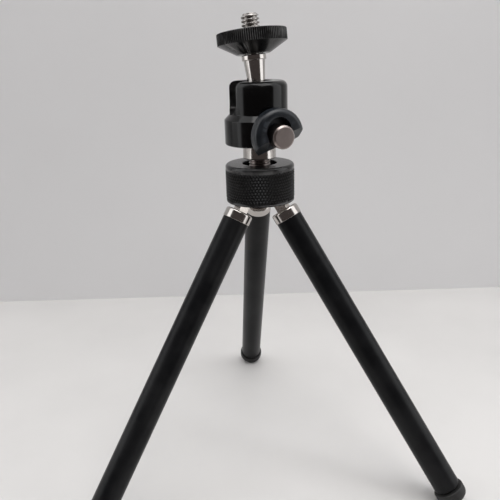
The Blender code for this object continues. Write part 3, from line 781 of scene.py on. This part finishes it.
corners = [
    (RING_SEAT, 0.0, 0.1),
    (COLLAR_RADIUS - 0.1, 0.0, 0.5),
    (COLLAR_RADIUS - 0.1, KNURL_LOW),
]
knurl_rows = round((KNURL_HIGH - KNURL_LOW) / DIAMOND_TALL * KNURL_STEPS)
outline = rounded(corners, False)
first_row = len(outline)
cell = DIAMOND_TALL / KNURL_STEPS
outline += [(COLLAR_RADIUS, KNURL_LOW + i * cell) for i in range(knurl_rows + 1)]
last_row = len(outline) - 1
outline += rounded(
    [
        (COLLAR_RADIUS - 0.12, KNURL_HIGH + 0.15),
        (COLLAR_RADIUS - 0.12, COLLAR_HEIGHT, 1.5),
        (COLLAR_HOLE, COLLAR_HEIGHT, 0.35),
        (COLLAR_HOLE, COLLAR_ROOF, 0.1),
        (COLLAR_BORE, COLLAR_ROOF, 0.2),
        (COLLAR_BORE, SEAT_DEPTH, 0.1),
        (RING_SEAT, SEAT_DEPTH),
    ],
    False,
)
columns = DIAMONDS * KNURL_STEPS
rings = []
for row, (r, z) in enumerate(outline):
    ring = circle(r, z, columns)
    if first_row <= row <= last_row:
        for column in range(columns):
            u, v = column / KNURL_STEPS, (row - first_row) / KNURL_STEPS
            rise = min(1 - abs(2 * ((u + v) % 1) - 1), 1 - abs(2 * ((u - v) % 1) - 1))
            edge = row in (first_row, last_row)
            scale = 1 - KNURL_DEPTH * (0.6 if edge else 1 - min(rise, 0.85) / 0.85) / COLLAR_RADIUS
            x, y, _ = ring[column]
            ring[column] = (x * scale, y * scale, z)
    rings.append(ring)


def knurl_crease(row, column):
    if first_row <= row < last_row:
        return (row - first_row - column) % 2 == 0
    return None


collar = skinned("diamond_knurled_collar", rings, True, knurl_crease)
# the knurl crests carry a painted highlight from the blackened metal's edge colour
fitted(
    laid_out("diamond_knurled_collar", collar),
    upright_at("knurled_collar"),
    "collar",
    "black_knurl",
    knurl_black_with_painted_highlights,
    "knurled_collar",
)

# ---- Threaded post ---------------------------------------------------------------------------
# A steel stud joins the hub to the head. Its fine thread shows in the gap over the collar.


def threaded(radius, depth, pitch, low, high, lead, count=48):
    """Rings in millimetres of a right-hand thread, run out by a lead at its low and high ends."""
    rows = max(2, round((high - low) / pitch * 14))
    made = []
    for i in range(rows + 1):
        z = low + (high - low) * i / rows
        most = radius - max(0.0, lead - (z - low), lead - (high - z))
        ring = []
        for k in range(count):
            part = (z / pitch - k / count) % 1.0
            flank = min(1.0, max(0.0, (1 - abs(2 * part - 1) - 0.14) / 0.62))
            flank = flank * flank * (3 - 2 * flank)
            r = min(radius - depth + depth * flank, most)
            turn = 2 * math.pi * k / count
            ring.append((r * math.cos(turn), r * math.sin(turn), z))
        made.append(ring)
    return made


POST_RADIUS, POST_THREAD, POST_PITCH = 3.9, 0.35, 1.0
post_low, post_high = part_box("centre_post")
post_tall = (post_high.z - post_low.z) / MM
post = [
    [(0.0, 0.0, 0.0)],
    *threaded(POST_RADIUS, POST_THREAD, POST_PITCH, 0.0, post_tall, 0.5),
    [(0.0, 0.0, post_tall)],
]
fitted(
    laid_out("threaded_post", skinned("threaded_post", post, False)),
    upright_at("centre_post"),
    "centre",
    "steel",
    turned_steel,
    "centre_post",
)

# ---- Neck bush -------------------------------------------------------------------------------
# A turned bush, nickel plated, screws up into the housing and down on the post.

NECK_RADIUS, NECK_BORE, NECK_HEIGHT = 6.05, 4.2, 5.25
NECK_PLUG, NECK_TOP, NECK_FLOOR = 6.5, 6.75, 5.55

neck = turned(
    "plated_neck",
    [
        (0.0, NECK_FLOOR),
        (NECK_BORE, NECK_FLOOR),
        (NECK_BORE, 0.0, 0.2),
        (NECK_RADIUS, 0.0, 0.35),
        (NECK_RADIUS, NECK_HEIGHT),
        (NECK_PLUG, NECK_HEIGHT),
        (NECK_PLUG, NECK_TOP, 0.3),
        (0.0, NECK_TOP),
    ],
)
fitted(
    laid_out("plated_neck", neck),
    upright_at("neck_bush"),
    "centre",
    "nickel",
    bright_nickel,
    "neck_bush",
)

# ---- Ball housing ----------------------------------------------------------------------------
# A turned aluminium cup with a wider foot, in glossy black enamel. It has a round mouth, a slot
# down one side for the stem to drop into, and a spot face where the clamp's knob goes in.

gloss_black = finish_of(
    "gloss_black_enamel",
    colour=(0.003, 0.003, 0.0032),
    metallic=0.0,
    roughness=0.15,
    spread=0.04,
    lines=((1, 1, 1), 900.0, 0.0, 90.0),
    edge_wear_and_highlight=((0.14, 0.14, 0.14), 0.3, 0.3),
    bump=(0.03, 0.02),
    coat=0.12,
    coat_roughness=0.06,
    specular=0.18,
)

SKIRT_RADIUS, UPPER_RADIUS, HOUSING_HEIGHT = 12.4, 10.4, 22.0
SKIRT_TOP, STEP_TOP, CAVITY_RADIUS, MOUTH_RADIUS = 8.8, 10.8, 6.8, 4.5
BALL_UP, SPINDLE_UP, STEM_SLOT = 14.9, 4.4, 4.3
SPOT_FACE, SPOT_RADIUS, SPINDLE_HOLE = 11.5, 4.9, 2.7

dome = math.degrees(math.acos(MOUTH_RADIUS / CAVITY_RADIUS))
housing = turned(
    "slotted_housing",
    [
        (CAVITY_RADIUS, 0.0, 0.2),
        (SKIRT_RADIUS, 0.0, 0.5),
        (SKIRT_RADIUS, SKIRT_TOP, 0.4),
        (UPPER_RADIUS, STEP_TOP, 0.5),
        (UPPER_RADIUS, HOUSING_HEIGHT, 2.2),
        (MOUTH_RADIUS, HOUSING_HEIGHT, 1.0),
        *arch(0.0, BALL_UP, CAVITY_RADIUS, dome, 0.0, 12),
    ],
    96,
)


def facing(azimuth, height):
    """A place on the head's axis whose Z points level along an azimuth, with its Y up."""
    out = Vector((math.cos(azimuth), math.sin(azimuth), 0.0))
    return lying_along((0.0, 0.0, height * MM), out, (0.0, 0.0, 1.0))


tilt = Vector(joints["ball_tilt"]["axis"])
slot_azimuth = math.atan2(-tilt.x, tilt.y)
knob_axis = Vector(joints["knob_turn"]["axis"])
knob_azimuth = math.atan2(knob_axis.y, knob_axis.x)
outline = arch(0.0, 0.0, STEM_SLOT, 0.0, -180.0, 28) + [(-STEM_SLOT, 14.0), (STEM_SLOT, 14.0)]
stem_slot = plate("stem_slot", outline, 0.0, 20.0)
stem_slot.data.transform(facing(slot_azimuth, BALL_UP))
bar = [(0.0, 0.0), (SPINDLE_HOLE, 0.0), (SPINDLE_HOLE, 20.0), (0.0, 20.0)]
drill = laid_out("drill", turned("drill", bar, 40))
drill.data.transform(facing(knob_azimuth, SPINDLE_UP))
bar = [(0.0, SPOT_FACE), (SPOT_RADIUS, SPOT_FACE), (SPOT_RADIUS, 20.0), (0.0, 20.0)]
spot = laid_out("spot", turned("spot", bar, 56))
spot.data.transform(facing(knob_azimuth, SPINDLE_UP))
fitted(
    eased(carved(laid_out("slotted_housing", housing), stem_slot, drill, spot), 0.25),
    upright_at("ball_housing"),
    "centre",
    "black_enamel",
    gloss_black,
    "ball_housing",
)

# ---- Plunger and cup under the ball ----------------------------------------------------------
# The spindle's cone wedges a brass plunger upwards, and a nylon cup on it grips the ball. Both
# are shut inside the housing, so the solids' own shapes stay.

refinished("clamp_plunger", rubbed_brass)
refinished("ball_cup", natural_nylon)

# ---- Ball ------------------------------------------------------------------------------------
# A polished and plated ball with a flat on top, where the stem screws in.

BALL_RADIUS, BALL_FLAT, BALL_HOLE, HOLE_FLOOR = 6.5, 5.658, 2.2, 1.658
stem_joint = joints["ball_spin"]
head = lying_along(stem_joint["pos_m"], stem_joint["axis"])

flat = math.degrees(math.asin(BALL_FLAT / BALL_RADIUS))
ball = turned(
    "polished_ball",
    [
        *arch(0.0, 0.0, BALL_RADIUS, -90.0, flat, 36),
        (BALL_HOLE, BALL_FLAT, 0.1),
        (BALL_HOLE, HOLE_FLOOR),
        (0.0, HOLE_FLOOR),
    ],
)
fitted(laid_out("polished_ball", ball), head, "ball", "nickel", bright_nickel, "ball")

# ---- Stem ------------------------------------------------------------------------------------
# A turned stem, nickel plated, widens slightly from the ball up to a small flange, on which the
# locking disc comes down.

STEM_FOOT, STEM_FOOT_RADIUS, STEM_TOP_RADIUS = 5.958, 3.05, 3.8
STEM_END, STEM_SPIGOT = 1.958, 1.9
SCREW_HOLE, SCREW_FLOOR = 2.3, 11.4
FLANGE_FOOT, FLANGE_TOP, FLANGE_RADIUS = 13.9, 15.7, 4.3

stem = turned(
    "plated_stem",
    [
        (0.0, STEM_END),
        (STEM_SPIGOT, STEM_END, 0.2),
        (STEM_SPIGOT, STEM_FOOT),
        (STEM_FOOT_RADIUS, STEM_FOOT, 0.15),
        (STEM_TOP_RADIUS, FLANGE_FOOT, 0.12),
        (FLANGE_RADIUS, FLANGE_FOOT, 0.2),
        (FLANGE_RADIUS, FLANGE_TOP, 0.3),
        (SCREW_HOLE, FLANGE_TOP, 0.1),
        (SCREW_HOLE, SCREW_FLOOR),
        (0.0, SCREW_FLOOR),
    ],
    80,
)
fitted(laid_out("plated_stem", stem), head, "stem", "nickel", bright_nickel, "stem")

# ---- Camera screw ----------------------------------------------------------------------------
# The screw has the 1/4 inch tripod thread, 20 to the inch, with rolled crests and a chamfered
# end, in satin nickel plate. A plain spigot below fixes it in the stem.

satin_nickel = finish_of(
    "satin_nickel_plate",
    colour=(0.38, 0.36, 0.345),
    metallic=1.0,
    roughness=0.26,
    spread=0.14,
    lines=((1, 1, 1), 4200.0, 1.0, 420.0),
    edge_wear_and_highlight=((0.72, 0.70, 0.67), 0.16, 0.5),
    bump=(0.10, 0.04),
    unevenness=0.25,
)

SCREW_RADIUS, SCREW_DEPTH, SCREW_PITCH = 3.15, 0.72, 1.27
SCREW_LOW, SCREW_TOP, SPIGOT_RADIUS, SPIGOT_LOW = 16.0, 29.25, 2.0, 11.7

screw = [
    [(0.0, 0.0, SPIGOT_LOW)],
    circle(SPIGOT_RADIUS - 0.2, SPIGOT_LOW, 48),
    circle(SPIGOT_RADIUS, SPIGOT_LOW + 0.2, 48),
    circle(SPIGOT_RADIUS, SCREW_LOW, 48),
    *threaded(SCREW_RADIUS, SCREW_DEPTH, SCREW_PITCH, SCREW_LOW, SCREW_TOP, 0.8),
    circle(SCREW_RADIUS - 1.1, SCREW_TOP, 48),
    [(0.0, 0.0, SCREW_TOP)],
]
fitted(
    laid_out("tripod_screw", skinned("tripod_screw", screw, False)),
    head,
    "stem",
    "nickel",
    satin_nickel,
    "camera_screw",
)

# ---- Locking disc ----------------------------------------------------------------------------
# The camera rests on a blackened disc that screws up against it. Its rim is straight knurled,
# and its underside is a smooth shallow cone.

DISC_RADIUS, DISC_BORE, DISC_FOOT_RADIUS = 12.3, 3.45, 5.95
DISC_FOOT, DISC_TOP, PAD_FLOOR, PAD_EDGE = 16.0, 23.5, 22.4, 11.2
RIDGES, RIDGE_DEPTH, RIDGE_STEPS = 104, 0.36, 6
RIM_LOW, RIM_EDGE = 19.5, 0.2  # where the cone ends, and how far its knurl is run out

outline = rounded(
    [
        (DISC_BORE, DISC_FOOT, 0.1),
        (DISC_FOOT_RADIUS, DISC_FOOT, 0.25),
        (DISC_RADIUS - RIM_EDGE, RIM_LOW, 0.15),
        (DISC_RADIUS - RIM_EDGE, RIM_LOW + 0.05),
        (DISC_RADIUS, RIM_LOW + RIM_EDGE),
        (DISC_RADIUS, DISC_TOP - RIM_EDGE),
        (DISC_RADIUS - RIM_EDGE, DISC_TOP),
        (PAD_EDGE, DISC_TOP, 0.1),
        (PAD_EDGE, PAD_FLOOR, 0.1),
        (DISC_BORE, PAD_FLOOR, 0.1),
    ],
    True,
)
rings = []
for r, z in outline:
    ring = circle(r, z, RIDGES * RIDGE_STEPS)
    if r == DISC_RADIUS:
        for k, (x, y, _) in enumerate(ring):
            dip = RIDGE_DEPTH * math.sin(math.pi * k / RIDGE_STEPS) ** 2 / DISC_RADIUS
            ring[k] = (x * (1 - dip), y * (1 - dip), z)
    rings.append(ring)
# the ridge crests carry a painted highlight from the blackened metal's edge colour
fitted(
    laid_out("ridged_disc", skinned("ridged_disc", rings, True)),
    head,
    "disc",
    "black_knurl",
    knurl_black_with_painted_highlights,
    "platform_disc",
)

# ---- Rubber pad ------------------------------------------------------------------------------
# A ring of black rubber, ribbed in circles, is let into the disc's top to grip the camera.

PAD_INNER, PAD_OUTER, PAD_LOW, PAD_HIGH = 3.75, 11.1, 22.7, 23.7
RIBS, RIB_DEPTH = 7, 0.18

ribs = []
for i in range(RIBS):
    start = PAD_OUTER - 0.9 - (PAD_OUTER - PAD_INNER - 1.8) * i / (RIBS - 1)
    ribs += [(start + 0.28, PAD_HIGH, 0.06), (start + 0.14, PAD_HIGH - RIB_DEPTH, 0.05)]
    ribs += [(start - 0.14, PAD_HIGH - RIB_DEPTH, 0.05), (start - 0.28, PAD_HIGH, 0.06)]
pad = turned(
    "ribbed_pad",
    [
        (PAD_INNER, PAD_LOW),
        (PAD_OUTER, PAD_LOW),
        (PAD_OUTER, PAD_HIGH, 0.2),
        *ribs,
        (PAD_INNER, PAD_HIGH, 0.2),
    ],
)
fitted(laid_out("ribbed_pad", pad), head, "pad", "black_rubber", matt_rubber, "camera_pad")

# ---- Washer ----------------------------------------------------------------------------------
# A plain steel washer lies in the spot face behind the knob.

knob_joint = joints["knob_turn"]
clamp = lying_along(knob_joint["pos_m"], knob_joint["axis"], (0.0, 0.0, 1.0))
WASHER_RADIUS, WASHER_HOLE, WASHER_LOW, WASHER_HIGH = 4.6, 2.7, -0.9, -0.3

washer = turned(
    "steel_washer",
    [
        (WASHER_HOLE, WASHER_LOW, 0.1),
        (WASHER_RADIUS, WASHER_LOW, 0.15),
        (WASHER_RADIUS, WASHER_HIGH, 0.15),
        (WASHER_HOLE, WASHER_HIGH, 0.1),
    ],
)
fitted(laid_out("steel_washer", washer), clamp, "washer", "steel", turned_steel, "knob_washer")

# ---- Clamp spindle ---------------------------------------------------------------------------
# The spindle is turned from steel bar, with a thick round head whose faced-off end shows the
# tool's rings and a bright chamfer. Its cone works on the plunger inside.

HEAD_RADIUS, HEAD_LOW, HEAD_END = 4.0, 1.7, 7.2
SHANK_RADIUS, SHANK_TIP, SHANK_CONE = 2.4, -9.7, 1.6

spindle = [
    [(0.0, 0.0, SHANK_TIP)],
    circle(SHANK_RADIUS / 2, SHANK_TIP, 64),
    circle(SHANK_RADIUS - 0.15, SHANK_TIP + SHANK_CONE, 64),
    *threaded(SHANK_RADIUS, 0.3, 0.8, SHANK_TIP + SHANK_CONE + 0.1, -1.0, 0.3, 64),
    *[
        circle(r, z, 64)
        for r, z in rounded(
            [
                (SHANK_RADIUS, -0.8),
                (SHANK_RADIUS, HEAD_LOW, 0.1),
                (HEAD_RADIUS, HEAD_LOW, 0.2),
                (HEAD_RADIUS, HEAD_END - 0.55, 0.1),
                (HEAD_RADIUS - 0.55, HEAD_END, 0.12),
                (0.0, HEAD_END),
            ],
            False,
        )
    ],
]
fitted(
    laid_out("turned_spindle", skinned("turned_spindle", spindle, False)),
    clamp,
    "knob",
    "steel",
    turned_steel,
    "clamp_spindle",
)

# ---- Wing knob -------------------------------------------------------------------------------
# A moulded black plastic knob with two short wings is pressed on the spindle. Its arched middle
# is open at the front, and its wings slope away at their ends.

black_plastic = finish_of(
    "black_moulded_plastic",
    colour=(0.008, 0.010, 0.013),
    metallic=0.0,
    roughness=0.30,
    spread=0.10,
    lines=((1, 1, 1), 3800.0, 0.0, 260.0),
    edge_wear_and_highlight=((0.05, 0.058, 0.07), 0.36, 0.6),
    bump=(0.10, 0.04),
    specular=0.36,
)

KNOB_RADIUS, KNOB_THICK, KNOB_WEB = 9.3, 4.6, 1.4
OPENING_RADIUS, OPENING_RISE, END_DROP = 4.65, 2.0, 4.2
KNOB_TURN = math.radians(18.0)
FAR = 2 * KNOB_RADIUS

knob = turned(
    "winged_knob",
    [(0.0, 0.0), (KNOB_RADIUS, 0.0, 0.5), (KNOB_RADIUS, KNOB_THICK, 1.8), (0.0, KNOB_THICK)],
    96,
)
turn = Matrix.Rotation(KNOB_TURN, 4, "Z")
bar = [(0.0, -FAR), (SPINDLE_HOLE, -FAR), (SPINDLE_HOLE, FAR), (0.0, FAR)]
drill = laid_out("drill", turned("drill", bar, 40))
outline = arch(0.0, OPENING_RISE, OPENING_RADIUS, 0.0, 180.0, 32)
outline += [(-OPENING_RADIUS, -FAR), (OPENING_RADIUS, -FAR)]
opening = plate("opening", outline, KNOB_WEB, FAR)
opening.data.transform(turn)
slope = [
    (KNOB_THICK, 0.0),
    (0.0, -END_DROP),
    (-KNOB_THICK, -2 * END_DROP),
    (-KNOB_THICK, -FAR),
    (2 * KNOB_THICK, -FAR),
    (2 * KNOB_THICK, END_DROP),
]
ends = plate("ends", slope, -FAR, FAR)
ends.data.transform(turn @ Matrix(((0, 0, 1, 0), (0, 1, 0, 0), (1, 0, 0, 0), (0, 0, 0, 1))))
ends.data.flip_normals()
fitted(
    eased(carved(laid_out("winged_knob", knob), ends, drill, opening), 0.4),
    clamp,
    "knob",
    "black_plastic",
    black_plastic,
    "wing_knob",
)

# ---- Table top and backdrop ------------------------------------------------------------------
# The tripod stands on a pale, faintly mottled table top in front of a plain grey card, turned
# a little. Both only set the scene.


def mottled(name, colour, roughness, contrast, scale):
    material = bpy.data.materials.new(name)
    material.use_nodes = True
    tree = material.node_tree
    shader = tree.nodes["Principled BSDF"]
    place = tree.nodes.new("ShaderNodeTexCoord")
    cloud = tree.nodes.new("ShaderNodeTexNoise")
    cloud.inputs["Scale"].default_value = scale
    cloud.inputs["Detail"].default_value = 5.0
    tree.links.new(place.outputs["Object"], cloud.inputs["Vector"])
    tone = tree.nodes.new("ShaderNodeValToRGB")
    tone.color_ramp.elements[0].position = 0.35
    tone.color_ramp.elements[1].position = 0.65
    tone.color_ramp.elements[0].color = (*[c * (1 - contrast) for c in colour], 1)
    tone.color_ramp.elements[1].color = (*colour, 1)
    tree.links.new(cloud.outputs["Fac"], tone.inputs["Fac"])
    tree.links.new(tone.outputs["Color"], shader.inputs["Base Color"])
    shader.inputs["Roughness"].default_value = roughness
    return material


def sheet_of(name, corners):
    mesh = bpy.data.meshes.new(name)
    mesh.from_pydata(corners, [], [tuple(range(len(corners)))])
    sheet = laid_out(name, mesh)
    return sheet


BACKDROP_AWAY, BACKDROP_TURN = 0.1686, math.radians(-4.2)
TABLE_EDGE = -0.17  # the table ends here, in front of the tripod, and the room beyond is dark
table_top = sheet_of(
    "table_top", [(-1.5, TABLE_EDGE, 0), (1.5, TABLE_EDGE, 0), (1.5, 1.5, 0), (-1.5, 1.5, 0)]
)
pale_top = mottled("pale_table_top", (0.665, 0.655, 0.645), 0.55, 0.06, 14.0)
table_top.data.materials.append(pale_top)
backdrop = sheet_of(
    "backdrop",
    [
        (-0.9, BACKDROP_AWAY, 0),
        (0.9, BACKDROP_AWAY, 0),
        (0.9, BACKDROP_AWAY, 0.7),
        (-0.9, BACKDROP_AWAY, 0.7),
    ],
)
backdrop.data.transform(
    Matrix.Translation((0.0, centre.y, 0.0)) @ Matrix.Rotation(BACKDROP_TURN, 4, "Z")
)
grey_card = mottled("grey_card", (0.86, 0.86, 0.87), 0.8, 0.03, 6.0)
backdrop.data.materials.append(grey_card)
# the card is seen from its front only, so that it doesn't hide the tripod from behind
tree = grey_card.node_tree
side_seen = tree.nodes.new("ShaderNodeNewGeometry")
clear = tree.nodes.new("ShaderNodeBsdfTransparent")
either = tree.nodes.new("ShaderNodeMixShader")
tree.links.new(side_seen.outputs["Backfacing"], either.inputs["Fac"])
tree.links.new(tree.nodes["Principled BSDF"].outputs["BSDF"], either.inputs[1])
tree.links.new(clear.outputs["BSDF"], either.inputs[2])
tree.links.new(either.outputs["Shader"], tree.nodes["Material Output"].inputs["Surface"])

# ---- Light -----------------------------------------------------------------------------------
# Soft light from all round and above, darker from the front, as in a room with pale walls where
# someone stands in front of the table.

world = bpy.data.worlds.new("pale_room")
bpy.context.scene.world = world
world.use_nodes = True
room = world.node_tree
direction = room.nodes.new("ShaderNodeTexCoord")
squat = room.nodes.new("ShaderNodeVectorMath")
squat.operation = "MULTIPLY"
squat.inputs[1].default_value = (1.0, 1.0, 0.45)
room.links.new(direction.outputs["Generated"], squat.inputs[0])
level = room.nodes.new("ShaderNodeVectorMath")
level.operation = "NORMALIZE"
room.links.new(squat.outputs["Vector"], level.inputs[0])
front = room.nodes.new("ShaderNodeVectorMath")
front.operation = "DOT_PRODUCT"
front.inputs[1].default_value = Vector((-0.10, -0.99, 0.05)).normalized()
room.links.new(level.outputs["Vector"], front.inputs[0])
shade = room.nodes.new("ShaderNodeMapRange")
shade.interpolation_type = "SMOOTHSTEP"
shade.inputs["From Min"].default_value = 0.42
shade.inputs["From Max"].default_value = 0.52
room.links.new(front.outputs["Value"], shade.inputs["Value"])
walls = room.nodes.new("ShaderNodeMix")
walls.data_type = "RGBA"
walls.inputs[6].default_value = (1.85, 1.86, 1.88, 1)
walls.inputs[7].default_value = (0.075, 0.064, 0.062, 1)
room.links.new(shade.outputs["Result"], walls.inputs["Factor"])
room.links.new(walls.outputs[2], room.nodes["Background"].inputs["Color"])
room.nodes["Background"].inputs["Strength"].default_value = 1.0

ceiling = bpy.data.lights.new("ceiling_panel", "AREA")
ceiling.shape = "RECTANGLE"
ceiling.size, ceiling.size_y = 0.6, 0.45
ceiling.energy = 2.9
ceiling.color = (1.0, 0.985, 0.97)
panel = bpy.data.objects.new("ceiling_panel", ceiling)
bpy.context.scene.collection.objects.link(panel)
hung = Vector((0.10, -0.22, 0.72))
panel.matrix_world = lying_along(hung, hung - Vector((0.0, centre.y, 0.10)))

# ---- Camera ----------------------------------------------------------------------------------
# A short lens close by, a little higher than the collar and looking down on the tripod.

LENS = 41.38
CAMERA_REACH, CAMERA_HEIGHT = 0.210868, 0.16865
LOOK_AROUND = math.radians(-5.4331)  # round the head's axis, from straight in front
PITCH, ROLL, YAW = 0.34115, -0.02939, -0.02148

forward = Vector(
    (math.sin(YAW) * math.cos(PITCH), math.cos(YAW) * math.cos(PITCH), -math.sin(PITCH))
)
right = Vector((math.cos(YAW), -math.sin(YAW), 0.0))
up = right.cross(forward)
right, up = (
    right * math.cos(ROLL) + up * math.sin(ROLL),
    up * math.cos(ROLL) - right * math.sin(ROLL),
)
stand = Matrix((right, up, -forward)).transposed().to_4x4()
stand.translation = (0.0, -CAMERA_REACH, CAMERA_HEIGHT)
lens = bpy.data.cameras.new("camera")
lens.lens = LENS
lens.clip_start = 0.01
camera = bpy.data.objects.new("camera", lens)
bpy.context.scene.collection.objects.link(camera)
camera.matrix_world = (
    Matrix.Translation((centre.x, centre.y, 0.0)) @ Matrix.Rotation(LOOK_AROUND, 4, "Z") @ stand
)
bpy.context.scene.camera = camera
bpy.context.scene.view_settings.view_transform = "Standard"
